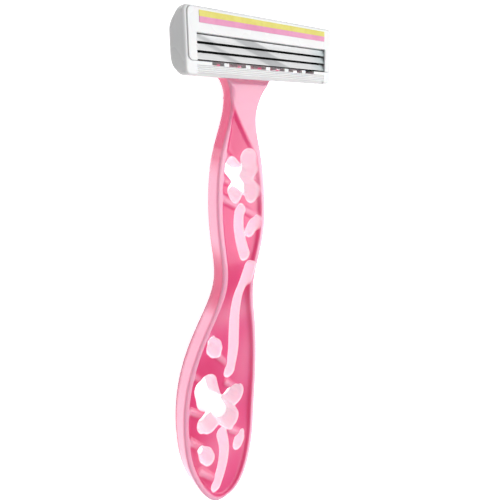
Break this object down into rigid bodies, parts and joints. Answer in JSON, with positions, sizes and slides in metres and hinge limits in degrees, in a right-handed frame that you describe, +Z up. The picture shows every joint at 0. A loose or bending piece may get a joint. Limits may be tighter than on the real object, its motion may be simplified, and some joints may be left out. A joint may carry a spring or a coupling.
{
  "type": "pivoting-head razor",
  "caption": "Three-blade razor: ribbed white head that pivots on the flared neck of a waisted translucent handle with blossom cut-outs.",
  "frame": {"origin": "on the surface that the razor lies on, under the middle of its length and width", "axes": "+Z up, out of the blades' side; +Y from the handle's tail to the head; +X along the blades"},
  "size_m": [0.041, 0.125, 0.0103],
  "materials": {
    "pink_plastic": "translucent moulded plastic, polished",
    "white_plastic": "satin moulded plastic",
    "white_rubber": "soft ribbed elastomer",
    "yellow_strip": "waxy lubricating strip",
    "pink_strip": "waxy lubricating strip",
    "blade_steel": "ground and polished edge",
    "support_steel": "stamped and bent strip"
  },
  "bodies": {
    "handle": {"handle": "pink_plastic", "return_tongue": "pink_plastic"},
    "head": {"cartridge_frame": "white_plastic", "face_cover": "white_plastic", "guard": "white_rubber", "upper_lubricating_strip": "yellow_strip", "lower_lubricating_strip": "pink_strip", "blade_springs_1": "white_plastic", "blade_springs_2": "white_plastic", "blade_springs_3": "white_plastic"},
    "blade_1": {"blade_1": "blade_steel", "blade_support_1": "support_steel"},
    "blade_2": {"blade_2": "blade_steel", "blade_support_2": "support_steel"},
    "blade_3": {"blade_3": "blade_steel", "blade_support_3": "support_steel"}
  },
  "joints": [
    {"name": "head_pivot", "type": "hinge", "parent": "handle", "child": "head", "pos_m": [0, 0.05436, 0.00255], "axis": [-1, 0, 0], "range_deg": [0, 35], "stiffness_Nm_per_rad": 0.01, "springref_deg": -17.19, "deforming": ["return_tongue"]},
    {"name": "blade_1_travel", "type": "slide", "parent": "head", "child": "blade_1", "axis": [0, -0.1564, -0.9877], "range_m": [0, 0.00025], "stiffness_N_per_m": 300, "springref_m": -0.0003, "deforming": ["blade_springs_1"]},
    {"name": "blade_2_travel", "type": "slide", "parent": "head", "child": "blade_2", "axis": [0, -0.1564, -0.9877], "range_m": [0, 0.00025], "stiffness_N_per_m": 300, "springref_m": -0.0003, "deforming": ["blade_springs_2"]},
    {"name": "blade_3_travel", "type": "slide", "parent": "head", "child": "blade_3", "axis": [0, -0.1564, -0.9877], "range_m": [0, 0.00025], "stiffness_N_per_m": 300, "springref_m": -0.0003, "deforming": ["blade_springs_3"]}
  ]
}
